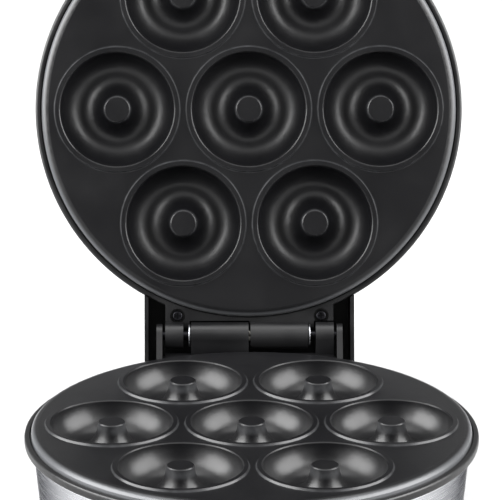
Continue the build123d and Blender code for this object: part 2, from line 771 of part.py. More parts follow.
def hinge_hood():
    """The hollow cover behind the lid, rim up; its rear edge meets the lugs at the stop."""
    rear = HINGE_Y + HOOD_INNER_SWEEP + HOOD_WALL
    with BuildPart() as hood:
        with BuildSketch(Plane.XY.offset(HOOD_TOP)):
            Polygon((-HOOD_HALF, 60), (HOOD_HALF, 60), (HOOD_HALF, rear), (-HOOD_HALF, rear), align=None)
        extrude(amount=HOOD_FOOT - HOOD_TOP)
        fillet(hood.edges().filter_by(Axis.Z).group_by(Axis.Y)[-1], 8)
        fillet(hood.faces().sort_by(Axis.Z)[0].edges().group_by(Axis.Y)[1:], 3)
        inner = rear - HOOD_WALL
        half = HOOD_HALF - HOOD_WALL
        with BuildSketch(Plane.XY.offset(HOOD_TOP + HOOD_WALL)):
            Polygon((-half, 50), (half, 50), (half, inner), (-half, inner), align=None)
            fillet(vertices().group_by(Axis.Y)[-1], 6)
        extrude(amount=HOOD_FOOT - HOOD_TOP, mode=Mode.SUBTRACT)
        with BuildSketch(Plane.XY.offset(HOOD_TOP)):
            with Locations((-SCREW_X, SCREW_Y), (SCREW_X, SCREW_Y)):
                Circle(4.5)
        extrude(amount=TAB_FOOT - HOOD_TOP)
        add(rim_envelope(0.1), mode=Mode.SUBTRACT)
        with BuildSketch(Plane.XY.offset(TAB_FOOT)):
            with Locations((-SCREW_X, SCREW_Y), (SCREW_X, SCREW_Y)):
                Circle(1.45)
        extrude(amount=-11, mode=Mode.SUBTRACT)
    return hood


def hood_screws():
    with BuildPart() as screws:
        for x in (-SCREW_X, SCREW_X):
            add(screw(x, SCREW_Y, RIM_TOP - 2.5, 16, 2.65, 1.45, up=False))
    return screws


def cord_gland():
    """A bushing through the base's wall; nothing is fitted in its bore."""
    with BuildPart() as gland:
        for start, length, radius in ((96, 5.6, 7.5), (96, 12.8, 5.5), (104.8, 4.0, 7.5)):
            with BuildSketch(radial_plane(start, GLAND_ANGLE, GLAND_Z)):
                Circle(radius)
            extrude(amount=length)
        fillet(gland.edges().filter_by(GeomType.CIRCLE).sort_by(Axis.Y)[-1:], 1.0)
        with BuildSketch(radial_plane(95, GLAND_ANGLE, GLAND_Z)):
            Circle(GLAND_BORE)
        extrude(amount=15, mode=Mode.SUBTRACT)
    return gland


# ---- handles and latch --------------------------------------------------------------------------------


def handle(on_lid):
    """A front handle, rim side up: a hollow moulding with two radial screw posts."""
    with BuildPart() as grip:
        with BuildSketch(Plane.XY.offset(HANDLE_FOOT)):
            Polygon(
                (-HANDLE_HALF, -95),
                (-HANDLE_HALF, 12 - HANDLE_NOSE),
                (-HANDLE_HALF + 8, -HANDLE_NOSE),
                (HANDLE_HALF - 8, -HANDLE_NOSE),
                (HANDLE_HALF, 12 - HANDLE_NOSE),
                (HANDLE_HALF, -95),
                align=None,
            )
            fillet(vertices().group_by(Axis.Y)[0], 7)
            fillet(vertices().filter_by(lambda v: -HANDLE_NOSE + 4 < v.Y < -110), 5)
        extrude(amount=HANDLE_TOP - HANDLE_FOOT)
        fillet(grip.faces().sort_by(Axis.Z)[0].edges().group_by(Axis.Y)[:-1], 2.5)
        with BuildSketch(Plane.XY.offset(HANDLE_FOOT + 3)):
            Polygon((-28, -95), (-28, -130), (-21, -136.5), (21, -136.5), (28, -130), (28, -95), align=None)
        extrude(amount=HANDLE_TOP - HANDLE_FOOT - 6, mode=Mode.SUBTRACT)
        for angle in (-102, -78):
            with BuildSketch(radial_plane(104, angle, HANDLE_SCREW_Z)):
                Circle(4.5)
            extrude(amount=28)
        add(rim_envelope(0.05), mode=Mode.SUBTRACT)
        for angle in (-102, -78):
            with BuildSketch(radial_plane(104, angle, HANDLE_SCREW_Z)):
                Circle(1.45)
            extrude(amount=16, mode=Mode.SUBTRACT)
        if on_lid:
            # pocket for the latch's hook, and the two lenses' holes
            with BuildSketch(Plane.YZ.offset(-LATCH_HALF - 0.6)):
                Polygon((-150, 33), (-150, 40), (-140.5, 40), (-140.5, 33), align=None)
            extrude(amount=2 * LATCH_HALF + 1.2, mode=Mode.SUBTRACT)
            with BuildSketch(Plane.XY.offset(HANDLE_FOOT)):
                with Locations((-LENS_X, LENS_Y), (LENS_X, LENS_Y)):
                    Circle(3)
            extrude(amount=3, mode=Mode.SUBTRACT)
        else:
            # bay for the latch's barrel, with the sloped lip that the latch hangs against
            with BuildSketch(Plane.YZ.offset(-LATCH_HALF - 0.6)):
                Polygon(
                    (-152, 50), (-139.2, 50), (-139.2, 33.4), (-145.04, 26.48), (-152, 26.48), align=None
                )
            extrude(amount=2 * LATCH_HALF + 1.2, mode=Mode.SUBTRACT)
            with BuildSketch(Plane.YZ.offset(-20)):
                with Locations((LATCH_Y, LATCH_Z)):
                    Circle(LATCH_PIN_RADIUS)
            extrude(amount=20 + HANDLE_HALF, mode=Mode.SUBTRACT)
    return grip


def handle_screws():
    with BuildPart() as screws:
        for angle in (-102, -78):
            add(wall_screw(104.0, angle, HANDLE_SCREW_Z, 15))
    return screws


def latch():
    """The clip, drawn hooked over the lid's handle: barrel, arm, hook and thumb tab."""
    with BuildPart() as clip:
        with BuildSketch(Plane.YZ.offset(-LATCH_HALF)):
            with Locations((LATCH_Y, LATCH_Z)):
                Circle(4)
                Polygon(
                    (0, 0),
                    (-3.9, -0.9),
                    (-6.3, 1.5),
                    (-6.3, 24),
                    (-9.5, 30.5),
                    (-8.3, 31.6),
                    (-5.3, 29.8),
                    (2, 29.8),
                    (2, 27),
                    (-3.8, 27),
                    (-3.8, 4),
                    (0, 4),
                    align=None,
                )
            with Locations((LATCH_Y, LATCH_Z)):
                Circle(LATCH_PIN_RADIUS + PIN_RUNNING_GAP, mode=Mode.SUBTRACT)
        extrude(amount=2 * LATCH_HALF)
    return clip


def latch_pin():
    with BuildPart() as pin:
        with BuildSketch(Plane.YZ.offset(-20)):
            with Locations((LATCH_Y, LATCH_Z)):
                Circle(LATCH_PIN_RADIUS)
        extrude(amount=40)
        chamfer(pin.edges().filter_by(GeomType.CIRCLE), 0.2)
    return pin


def lens(x):
    """An indicator's coloured lens, rim side up, set in the lid's handle."""
    with BuildPart() as jewel:
        with Locations((x, LENS_Y, HANDLE_FOOT - 0.7)):
            Cylinder(3, 3.7, align=(Align.CENTER, Align.CENTER, Align.MIN))
        fillet(jewel.edges().filter_by(GeomType.CIRCLE).sort_by(Axis.Z)[0], 0.6)
    return jewel


def indicator_lamps():
    """A small glass lamp behind each lens."""
    with BuildPart() as lamps:
        with Locations((-LENS_X, LENS_Y, HANDLE_FOOT + 3), (LENS_X, LENS_Y, HANDLE_FOOT + 3)):
            Cylinder(1.9, 8, align=(Align.CENTER, Align.CENTER, Align.MIN))
        fillet(lamps.edges().filter_by(GeomType.CIRCLE).group_by(Axis.Z)[-1], 0.8)
    return lamps


# ---- controls and wiring --------------------------------------------------------------------------------


def sensor(body_round):
    """The lid's thermostat, or the base's fuse carrier, flange against the plate's pad."""
    with BuildPart() as unit:
        with BuildSketch(Plane.XY.offset(SKIRT_FOOT)):
            with Locations((0, SENSOR_Y)):
                SlotOverall(26, 7)
                with Locations((-10, 0), (10, 0)):
                    Circle(1.2, mode=Mode.SUBTRACT)
        extrude(amount=-0.8)
        with BuildSketch(Plane.XY.offset(SKIRT_FOOT - 0.8)):
            with Locations((0, SENSOR_Y)):
                if body_round:
                    Circle(7.5)
                else:
                    RectangleRounded(13, 7, 1.5)
        extrude(amount=-5.2)
        for x in (-4, 4):
            with BuildSketch(Plane.XY.offset(SKIRT_FOOT - 6)):
                with Locations((x, SENSOR_Y)):
                    Rectangle(0.8, 4.4)
            extrude(amount=-5)
    return unit


def sensor_screws():
    with BuildPart() as screws:
        for x in (-10, 10):
            add(screw(x, SENSOR_Y, SKIRT_FOOT - 0.8, 4.4, 2.1, 1.15))
    return screws


def terminal_block():
    """A ceramic block on the floor with four wire entries at each end."""
    with BuildPart() as block:
        with Locations((BLOCK_X, BLOCK_Y, FLOOR_Z)):
            Box(30, 16, 12, align=(Align.CENTER, Align.CENTER, Align.MIN))
        chamfer(block.faces().sort_by(Axis.Z)[-1].edges(), 1)
        with BuildSketch(Plane.XY.offset(FLOOR_Z + 12)):
            with Locations((BLOCK_X, BLOCK_Y)):
                with GridLocations(7, 9, 4, 2):
                    Circle(1.8)
        extrude(amount=-5, mode=Mode.SUBTRACT)
        with BuildSketch(Plane.XZ.offset(-BLOCK_Y - 9)):
            with Locations((BLOCK_X, FLOOR_Z + 5)):
                with GridLocations(7, 7, 4, 1):
                    Circle(1.5)
        extrude(amount=18, mode=Mode.SUBTRACT)
    return block


def wire(*points, radius=WIRE_RADIUS):
    """One run of insulated wire, bent at each point."""
    with BuildPart() as strand:
        with BuildLine() as run:
            Polyline(*points)
        with BuildSketch(Plane(origin=run.line @ 0, z_dir=run.line % 0)):
            Circle(radius)
        sweep(path=run.line, transition=Transition.ROUND)
    return strand.part


def leg_sleeves():
    """Push-on sleeves round the heater's two blades, each with its wire's first length."""
    with BuildPart() as sleeves:
        for x, y in leg_points():
            with BuildSketch(Plane.XY.offset(LEG_FOOT - 15)):
                with Locations((x, y)):
                    Rectangle(6.4, 2.6)
            extrude(amount=8)
    return sleeves.part


def clear_blades():
    """Cuts the heater's and the sensor's blades out of the sleeves pushed onto them."""
    with BuildPart() as blades:
        for x, y in leg_points():
            with BuildSketch(Plane.XY.offset(LEG_FOOT - 12)):
                with Locations((x, y)):
                    Rectangle(4.8, 0.8)
            extrude(amount=7)
        for x in (-4, 4):
            with BuildSketch(Plane.XY.offset(SKIRT_FOOT - 11)):
                with Locations((x, SENSOR_Y)):
                    Rectangle(0.8, 4.4)
            extrude(amount=5)
    return blades.part


def sensor_sleeves():
    with BuildPart() as sleeves:
        for x in (-4, 4):
            with BuildSketch(Plane.XY.offset(SKIRT_FOOT - 14)):
                with Locations((x, SENSOR_Y)):
                    Rectangle(2.6, 6)
            extrude(amount=7)
    return sleeves.part


def hinge_run(axis_z, top):
    """The length of wire inside the rim: in from the shell, then up into the barrel."""
    with BuildPart() as run:
        with BuildSketch(Plane.XZ.offset(-WIRE_Y)):
            with Locations((WIRE_X, WIRE_Z)):
                Circle(WIRE_RADIUS)
        extrude(amount=WIRE_Y - 97)
        with BuildSketch(Plane.XY.offset(WIRE_Z)):
            with Locations((WIRE_X, WIRE_Y)):
                Circle(WIRE_RADIUS)
        extrude(amount=top - WIRE_Z)
        with Locations((WIRE_X, WIRE_Y, WIRE_Z)):
            Sphere(WIRE_RADIUS)
    return run.part


def base_wiring():
    """Block to heater, block to fuse, fuse to heater, block to the hinge."""
    (left_x, left_y), (right_x, right_y) = leg_points()
    run = FLOOR_Z + 5
    sleeve = LEG_FOOT - 14.5
    low = SKIRT_FOOT - 13.5
    front, back = BLOCK_Y - 6, BLOCK_Y + 6
    with BuildPart() as wires:
        add(leg_sleeves())
        add(sensor_sleeves())
        add(hinge_run(HINGE_Z, HINGE_Z - 3.0))
        add(wire((21.5, front, run), (21.5, 44, run), (right_x, right_y, run), (right_x, right_y, sleeve)))
        add(wire((28.5, back, run), (28.5, 80, run), (4, SENSOR_Y, 14), (4, SENSOR_Y, low)))
        to_left_leg = ((left_x, left_y, run), (left_x, left_y, sleeve))
        add(wire((-4, SENSOR_Y, low), (-4, SENSOR_Y, 14), (-12, 76, run), *to_left_leg))
        to_hinge = ((WIRE_X, 88, 22), (WIRE_X, 96, WIRE_Z), (WIRE_X, 98, WIRE_Z))
        add(wire((14.5, back, run), (14.5, 76, run), *to_hinge))
        add(clear_blades(), mode=Mode.SUBTRACT)
    return wires


def lid_wiring():
    """Hinge to thermostat and heater, thermostat to heater, and the lamps' leads."""
    (left_x, left_y), (right_x, right_y) = leg_points()
    run = 10
    sleeve = LEG_FOOT - 14.5
    low = SKIRT_FOOT - 13.5
    lamp_z = HANDLE_SCREW_Z + 1.5
    split = (-12, 92, 24)
    with BuildPart() as wires:
        add(leg_sleeves())
        add(sensor_sleeves())
        add(hinge_run(LID_AXIS_Z, LID_AXIS_Z - 3.4))
        add(wire((WIRE_X, 98, WIRE_Z), (WIRE_X, 96, WIRE_Z), split, (-4, SENSOR_Y, 24), (-4, SENSOR_Y, low)))
        to_left_leg = ((-12, 76, run), (left_x, left_y, run), (left_x, left_y, sleeve))
        add(wire((-12, 89.2, 21.5), *to_left_leg, radius=BRANCH_RADIUS))
        to_right_leg = ((right_x, right_y, run), (right_x, right_y, sleeve))
        add(wire((4, SENSOR_Y, low), (4, SENSOR_Y, 14), (12, 76, run), *to_right_leg))
        to_lamps = ((0, 20, run), (0, -90, 12), (0, -98, lamp_z), (0, -119.4, lamp_z))
        add(wire((right_x, right_y, run), *to_lamps, radius=BRANCH_RADIUS))
        add(wire((-6.05, LENS_Y, lamp_z), (6.05, LENS_Y, lamp_z)))
        add(clear_blades(), mode=Mode.SUBTRACT)
    return wires


def hinge_wires():
    """The bundle that crosses from the base's barrel to the lid's along the hinge axis."""
    with BuildPart() as bundle:
        with BuildSketch(Plane.YZ.offset(-14)):
            with Locations((HINGE_Y, HINGE_Z)):
                with PolarLocations(1.55, 3):
                    Circle(1.35)
                Circle(0.9)
        extrude(amount=28)
    return bundle


def main():
    os.makedirs("parts", exist_ok=True)
    # pieces that the base and the lid have alike
    for maker, word in (
        (cooking_plate, "plate"),
        (heater, "heater"),
        (heater_terminals, "heater_terminals"),
        (heater_clips, "heater_clips"),
        (heater_clip_screws, "heater_clip_screws"),
        (heat_shield, "heat_shield"),
        (heat_shield_screws, "heat_shield_screws"),
        (plate_screws, "plate_screws"),
        (handle_screws, "handle_screws"),
    ):
        piece = maker()
        save(piece, f"lower_{word}")
        save(piece, f"upper_{word}", opened=True, flipped=True)
    # base
    save(base_shell(), "base_shell")
    save(bottom_cover(), "bottom_cover")
    save(bottom_cover_screws(), "bottom_cover_screws")
    save(rubber_feet(), "rubber_feet")
    save(frame(HINGE_Z, on_lid=False), "base_frame")
    save(hinge_pin(left=True), "hinge_pin_left")
    save(hinge_pin(left=False), "hinge_pin_right")
    save(hinge_wires(), "hinge_wires")
    save(sensor(body_round=False), "thermal_fuse")
    save(sensor_screws(), "fuse_screws")
    save(terminal_block(), "terminal_block")
    save(base_wiring(), "base_wiring")
    save(cord_gland(), "cord_gland")
    save(handle(on_lid=False), "lower_handle")
    save(latch_pin(), "latch_pin")
    # lid
    save(lid_shell(), "lid_shell", opened=True, flipped=True)
    save(frame(LID_AXIS_Z, on_lid=True), "lid_frame", opened=True, flipped=True)
    save(lid_frame_screws(), "lid_frame_screws", opened=True, flipped=True)
    save(hinge_hood(), "hinge_hood", opened=True, flipped=True)
    save(hood_screws(), "hood_screws", opened=True, flipped=True)
    save(sensor(body_round=True), "thermostat", opened=True, flipped=True)
    save(sensor_screws(), "thermostat_screws", opened=True, flipped=True)
    save(lid_wiring(), "lid_wiring", opened=True, flipped=True)
    save(handle(on_lid=True), "upper_handle", opened=True, flipped=True)
    save(lens(-LENS_X), "power_lens", opened=True, flipped=True)
    save(lens(LENS_X), "ready_lens", opened=True, flipped=True)
    save(indicator_lamps(), "indicator_lamps", opened=True, flipped=True)
    # the latch hangs open on its stop
    clip = latch().part.rotate(LATCH_AXIS, LATCH_HANG)
    clip.label = "latch"
    export_step(clip, "parts/latch.step")


main()
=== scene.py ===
"""Looks for a ring-doughnut maker: finishes for every part, moulded detail, a plain studio."""

import json
import math

import bmesh
import bpy
from mathutils import Matrix, Vector


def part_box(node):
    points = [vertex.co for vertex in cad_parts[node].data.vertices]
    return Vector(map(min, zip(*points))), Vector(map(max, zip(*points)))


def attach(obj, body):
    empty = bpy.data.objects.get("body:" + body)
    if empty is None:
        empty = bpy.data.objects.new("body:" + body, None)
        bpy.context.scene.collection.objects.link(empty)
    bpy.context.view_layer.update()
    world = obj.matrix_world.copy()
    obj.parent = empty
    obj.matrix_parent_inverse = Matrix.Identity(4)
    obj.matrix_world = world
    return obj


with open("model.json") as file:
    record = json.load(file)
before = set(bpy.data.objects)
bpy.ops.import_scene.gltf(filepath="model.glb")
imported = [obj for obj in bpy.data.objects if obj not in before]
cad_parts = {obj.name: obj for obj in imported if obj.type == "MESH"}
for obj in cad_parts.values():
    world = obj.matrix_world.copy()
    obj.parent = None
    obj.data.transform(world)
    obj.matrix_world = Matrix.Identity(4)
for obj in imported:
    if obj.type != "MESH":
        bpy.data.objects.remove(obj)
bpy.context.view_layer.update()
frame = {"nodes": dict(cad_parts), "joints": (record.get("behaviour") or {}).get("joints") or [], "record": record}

bl_info = {
    "name": "Ring doughnut maker",
    "version": (1, 0, 0),
    "blender": (4, 5, 0),
    "location": "3D View > Sidebar > Doughnut maker",
    "description": "Finishes and fittings of an open seven-ring doughnut maker",
    "category": "Object",
}

# Sizes that the pieces share with the frame, in metres.
HINGE = next(j for j in frame["joints"] if j["name"] == "lid_hinge")
HINGE_POINT = Vector(HINGE["pos_m"])
LID_OPEN = math.radians(HINGE["range_deg"][1])
MOULD_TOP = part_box("lower_plate")[1].z
HALF_GAP = 0.0005
MIDDLE = MOULD_TOP + HALF_GAP
PITCH = 0.068
MOULDS = [(0.0, 0.0)] + [
    (PITCH * math.cos(math.radians(60 * i)), PITCH * math.sin(math.radians(60 * i))) for i in range(6)
]

# Where a painted highlight lies on the plates: a thin line on the lip of each mould and on the top of each boss,
# and a band round the outer edge.
LIP_RADIUS, LIP_HALF_WIDTH = 0.0325, 0.0007
BOSS_RADIUS, BOSS_HALF_WIDTH = 0.0069, 0.0006
EDGE_FROM, EDGE_TO = 0.1046, 0.1068

# The handles' outer face, the lamps and the grip patches, measured rim up.
HANDLE_FACE = 0.0273
LENS_X = 0.008
LENS_Y = -0.12
GRIP_Y = -0.125
BEZEL_WIDTH, BEZEL_HEIGHT, BEZEL_CORNER = 0.0009, 0.0011, 0.0003

# Edges sharper than this stay crisp, and points closer than this are one.
SMOOTH_ANGLE = math.radians(35)
MERGE_WITHIN = 1e-6

# The studio: each soft box's name, place, aim, width and height in metres, and power in watts.
FLOOR_HALF = 6
SOFT_BOXES = (
    ("soft_left", (-1.7, -0.35, 0.95), (0, 0.05, 0.05), (2.1, 1.7), 150),
    ("soft_right", (1.7, -0.35, 0.95), (0, 0.05, 0.05), (2.1, 1.7), 126),
    ("soft_top", (0, 0.3, 2.2), (0, 0.3, 0.05), (2.2, 1.4), 34),
)
# The air's brightness by the cosine of the angle from the front: 1 is straight to the front,
# where the camera stands, and 0 is square to that and all beyond.
AIR_FRONT = (0.0, -0.953, 0.303)
AIR_BANDS = ((0.0, 0.25), (0.3, 0.5), (0.5, 1.0), (0.86, 1.0), (0.94, 0.14), (1.0, 0.1))
AIR_STRENGTH = 1.5
# The camera's turn from straight ahead, and its aim right of and above the base's middle.
CAMERA_YAW = math.radians(0.54)
AIM_RIGHT, AIM_ABOVE = -0.0003, 0.083
SENSOR_MM = 36
SIGHT_LIMIT = 50


def turn_about(point, angle, axis):
    """A turn about an axis through a point."""
    return Matrix.Translation(point) @ Matrix.Rotation(angle, 4, axis) @ Matrix.Translation(-point)


# From the lid's plate lying rim up, as the base's does, to where the open lid stands.
TURN_OVER = turn_about(Vector((0, 0, MIDDLE)), math.pi, "Y")
SWING = turn_about(HINGE_POINT, -LID_OPEN, "X")
TO_LID = SWING @ TURN_OVER
BODY_PLACE = {"base": Matrix.Identity(4), "lid": TO_LID}


# ---- materials ------------------------------------------------------------------------

# How much each finer layer of noise adds, and a colour mix's own sockets.
NOISE_GAIN = 0.55
MIX_A, MIX_B, MIX_RESULT = 6, 7, 2


def linear(code, alpha=1.0):
    """An sRGB hex colour as linear RGBA."""
    parts = [int(code[i : i + 2], 16) / 255 for i in (1, 3, 5)]
    parts = [c / 12.92 if c <= 0.04045 else ((c + 0.055) / 1.055) ** 2.4 for c in parts]
    return (*parts, alpha)


def add(tree, kind, links=(), values=(), **settings):
    """Adds one node; links are (input, socket) pairs and values are (input, value) pairs."""
    made = tree.nodes.new(kind)
    for key, value in settings.items():
        setattr(made, key, value)
    for key, value in values:
        made.inputs[key].default_value = value
    for key, socket in links:
        tree.links.new(socket, made.inputs[key])
    return made


def start(name, color, roughness, metallic=0.0, **sockets):
    """A material with its shader, and object coordinates."""
    mat = bpy.data.materials.new(name)
    mat.use_nodes = True
    tree = mat.node_tree
    tree.nodes.clear()
    shader = add(tree, "ShaderNodeBsdfPrincipled")
    shader.inputs["Base Color"].default_value = linear(color)
    shader.inputs["Roughness"].default_value = roughness
    shader.inputs["Metallic"].default_value = metallic
    for key, value in sockets.items():
        shader.inputs[key.replace("_", " ")].default_value = value
    add(tree, "ShaderNodeOutputMaterial", links=[("Surface", shader.outputs[0])])
    where = add(tree, "ShaderNodeTexCoord").outputs["Object"]
    return mat, tree, shader, where


def lid_space(tree, where):
    """Turns object coordinates so that a pattern lies on the open lid as it does shut."""
    moved = add(
        tree, "ShaderNodeVectorMath", links=[(0, where)], values=[(1, HINGE_POINT)], operation="SUBTRACT"
    )
    turned = add(
        tree,
        "ShaderNodeMapping",
        links=[("Vector", moved.outputs[0])],
        values=[("Rotation", (LID_OPEN, 0, 0))],
    )
    return add(
        tree,
        "ShaderNodeVectorMath",
        links=[(0, turned.outputs[0])],
        values=[(1, HINGE_POINT)],
        operation="ADD",
    ).outputs[0]


def patches(tree, where, size_mm, low, high, detail=2.0, span=(0.3, 0.7)):
    """A value that drifts from low to high in soft patches about size_mm across."""
    cloud = add(
        tree,
        "ShaderNodeTexNoise",
        links=[("Vector", where)],
        values=[("Scale", 1000.0 / size_mm), ("Detail", detail), ("Roughness", NOISE_GAIN)],
    )
    return add(
        tree,
        "ShaderNodeMapRange",
        links=[("Value", cloud.outputs["Fac"])],
        values=[("From Min", span[0]), ("From Max", span[1]), ("To Min", low), ("To Max", high)],
    ).outputs[0]


def mottle(tree, shader, where, size_mm, dark, light, detail=2.0):
    """Lets the base colour drift between two near colours in patches about size_mm across."""
    mix = add(
        tree,
        "ShaderNodeMix",
        links=[("Factor", patches(tree, where, size_mm, 0.0, 1.0, detail))],
        values=[(MIX_A, linear(dark)), (MIX_B, linear(light))],
        data_type="RGBA",
    )
    tree.links.new(mix.outputs[MIX_RESULT], shader.inputs["Base Color"])


def tooth(tree, shader, where, grain_mm, strength, depth, detail=3.0):
    """Raises a fine grain on the surface, depth metres high at full strength."""
    grain = add(
        tree,
        "ShaderNodeTexNoise",
        links=[("Vector", where)],
        values=[("Scale", 1000.0 / grain_mm), ("Detail", detail), ("Roughness", NOISE_GAIN)],
    )
    bump = add(
        tree,
        "ShaderNodeBump",
        links=[("Height", grain.outputs["Fac"])],
        values=[("Strength", strength), ("Distance", depth)],
    )
    tree.links.new(bump.outputs[0], shader.inputs["Normal"])


def brushed_stainless(name, on_lid):
    # Stainless steel sheet, drawn and then brushed round: near white, with fine hoops on its wall and soft clouds
    # on its flat top.
    # Its near-black edge tint is painted shade: the reflection darkens at a grazing angle to draw a dark outline.
    mat, tree, shader, where = start(
        name, "#CBCCCF", 0.24, metallic=1.0, Specular_Tint=(0.05, 0.05, 0.055, 1)
    )
    if on_lid:
        where = lid_space(tree, where)
    # Each hoop runs far round the wall, so the pattern is drawn out fifty times along it.
    drawn_out = add(
        tree, "ShaderNodeMapping", links=[("Vector", where)], values=[("Scale", (0.02, 0.02, 1.0))]
    ).outputs[0]
    # Brush lines are 0.1 mm apart on the real sheet, drawn at 0.4 mm so that they show.
    line_mm, cloud_mm = 0.4, 40.0
    lines, clouds = (
        add(
            tree,
            "ShaderNodeTexNoise",
            links=[("Vector", along)],
            values=[("Scale", 1000.0 / size_mm), ("Detail", 2.0), ("Roughness", NOISE_GAIN)],
        ).outputs["Fac"]
        for along, size_mm in ((drawn_out, line_mm), (where, cloud_mm))
    )
    both = add(tree, "ShaderNodeMath", links=[(0, lines), (1, clouds)], operation="ADD")
    sheen = add(
        tree,
        "ShaderNodeMapRange",
        links=[("Value", both.outputs[0])],
        values=[("From Min", 0.7), ("From Max", 1.3), ("To Min", 0.17), ("To Max", 0.34)],
    )
    tree.links.new(sheen.outputs[0], shader.inputs["Roughness"])
    mottle(tree, shader, drawn_out, line_mm, "#C2C3C6", "#D4D5D8")
    tooth(tree, shader, drawn_out, line_mm, 0.06, 0.0001, detail=2.0)
    return mat


def moulded_plastic(name, color, light):
    # Black PBT, moulded in a finely sparked tool: satin, a little uneven in its sheen.
    satin, cloud_mm = 0.36, 25.0
    mat, tree, shader, where = start(name, color, satin, IOR=1.5, Specular_IOR_Level=0.38)
    mottle(tree, shader, where, cloud_mm, color, light)
    tree.links.new(patches(tree, where, cloud_mm, satin - 0.05, satin + 0.07), shader.inputs["Roughness"])
    tooth(tree, shader, where, 0.45, 0.22, 0.00012, detail=4.0)
    return mat


def ring_mask(tree, distance, radius, half_width):
    """One on a circle of the given radius, falling to nothing half_width away from it."""
    offset = add(
        tree, "ShaderNodeMath", links=[(0, distance)], values=[(1, radius)], operation="SUBTRACT"
    )
    away = add(tree, "ShaderNodeMath", links=[(0, offset.outputs[0])], operation="ABSOLUTE")
    return add(
        tree,
        "ShaderNodeMapRange",
        links=[("Value", away.outputs[0])],
        values=[("From Min", 0.0), ("From Max", half_width), ("To Min", 1.0), ("To Max", 0.0)],
    ).outputs[0]


def flat_distance(tree, where, centre):
    """Distance in plan from an upright line through centre."""
    level = add(
        tree, "ShaderNodeVectorMath", links=[(0, where)], values=[(1, (1, 1, 0))], operation="MULTIPLY"
    ).outputs[0]
    return add(
        tree, "ShaderNodeVectorMath", links=[(0, level)], values=[(1, (*centre, 0))], operation="DISTANCE"
    ).outputs["Value"]


def painted_edge_highlight(tree, where):
    """Painted highlight on a plate where light catches it: faint, broken lines along the lips and bosses, and a
    full band round its outer edge.
    """
    nearest = None
    for centre in MOULDS:
        distance = flat_distance(tree, where, centre)
        if nearest is not None:
            links = [(0, nearest), (1, distance)]
            distance = add(tree, "ShaderNodeMath", links=links, operation="MINIMUM").outputs[0]
        nearest = distance
    lip = ring_mask(tree, nearest, LIP_RADIUS, LIP_HALF_WIDTH)
    boss = ring_mask(tree, nearest, BOSS_RADIUS, BOSS_HALF_WIDTH)
    rings = add(tree, "ShaderNodeMath", links=[(0, lip), (1, boss)], operation="MAXIMUM").outputs[0]
    # Breaks the painted highlight lines into uneven patches.
    uneven = patches(tree, where, 5.0, 0.25, 1.0)
    broken = add(tree, "ShaderNodeMath", links=[(0, rings), (1, uneven)], operation="MULTIPLY").outputs[0]
    faint = add(
        tree, "ShaderNodeMath", links=[(0, broken)], values=[(1, 0.4)], operation="MULTIPLY"
    ).outputs[0]
    edge = add(
        tree,
        "ShaderNodeMapRange",
        links=[("Value", flat_distance(tree, where, (0, 0)))],
        values=[("From Min", EDGE_FROM), ("From Max", EDGE_TO)],
        interpolation_type="SMOOTHSTEP",
    ).outputs[0]
    return add(tree, "ShaderNodeMath", links=[(0, faint), (1, edge)], operation="MAXIMUM").outputs[0]


def coated_casting(name, on_lid):
    # Cast aluminium under a sprayed, baked non-stick coat: charcoal, softly glossy, with a faint orange-peel.
    # A painted highlight, lighter grey and a little metallic, lies round the outer wall and along the lips.
    mat, tree, shader, where = start(name, "#08080A", 0.3, IOR=1.42, Specular_IOR_Level=0.45)
    if on_lid:
        where = lid_space(tree, where)
    fleck = add(
        tree,
        "ShaderNodeMix",
        links=[("Factor", patches(tree, where, 0.4, 0.0, 1.0, detail=1.0, span=(0.42, 0.78)))],
        values=[(MIX_A, linear("#050506")), (MIX_B, linear("#0F0F11"))],
        data_type="RGBA",
    )
    painted_highlight = painted_edge_highlight(tree, where)
    # Painted highlight: mixes a lighter grey into the coat's colour along the lips, bosses and outer edge.
    coat = add(
        tree,
        "ShaderNodeMix",
        links=[("Factor", painted_highlight), (MIX_A, fleck.outputs[MIX_RESULT])],
        values=[(MIX_B, linear("#4A4B4D"))],
        data_type="RGBA",
    )
    # Painted highlight: also made a little metallic.
    highlight_metallic = add(tree, "ShaderNodeMath", links=[(0, painted_highlight)], values=[(1, 0.2)], operation="MULTIPLY")
    tree.links.new(coat.outputs[MIX_RESULT], shader.inputs["Base Color"])
    tree.links.new(highlight_metallic.outputs[0], shader.inputs["Metallic"])
    tree.links.new(patches(tree, where, 30.0, 0.29, 0.37), shader.inputs["Roughness"])
    tooth(tree, shader, where, 1.3, 0.12, 0.0002)
    return mat


def plain_metal(name, dark, light, roughness, grain_mm):
    # Bare or plated steel and aluminium fittings: grey, lightly mottled by their plating.
    mat, tree, shader, where = start(name, light, roughness, metallic=1.0)
    mottle(tree, shader, where, grain_mm * 6, dark, light, detail=3.0)
    sheen = patches(tree, where, grain_mm, roughness - 0.06, roughness + 0.1, detail=3.0)
    tree.links.new(sheen, shader.inputs["Roughness"])
    tooth(tree, shader, where, grain_mm, 0.1, 0.0001)
    return mat


def dull_solid(name, dark, light, roughness, grain_mm, strength=0.25):
    # Rubber, unglazed ceramic and braided sleeving: matt, with a fine tooth.
    mat, tree, shader, where = start(name, dark, roughness, IOR=1.5)
    mottle(tree, shader, where, grain_mm * 12, dark, light)
    sheen = patches(tree, where, grain_mm, roughness - 0.08, roughness + 0.08, detail=4.0)
    tree.links.new(sheen, shader.inputs["Roughness"])
    tooth(tree, shader, where, grain_mm, strength, 0.0002, detail=4.0)
    return mat


def clear_solid(name, dark, light, passing):
    # Tinted polycarbonate and lamp glass: glossy and partly clear.
    gloss, streak_mm = 0.08, 1.5
    mat, tree, shader, where = start(name, dark, gloss, IOR=1.58, Transmission_Weight=passing)
    mottle(tree, shader, where, streak_mm, dark, light, detail=1.0)
    sheen = patches(tree, where, streak_mm, gloss, gloss + 0.05, detail=1.0)
    tree.links.new(sheen, shader.inputs["Roughness"])
    return mat


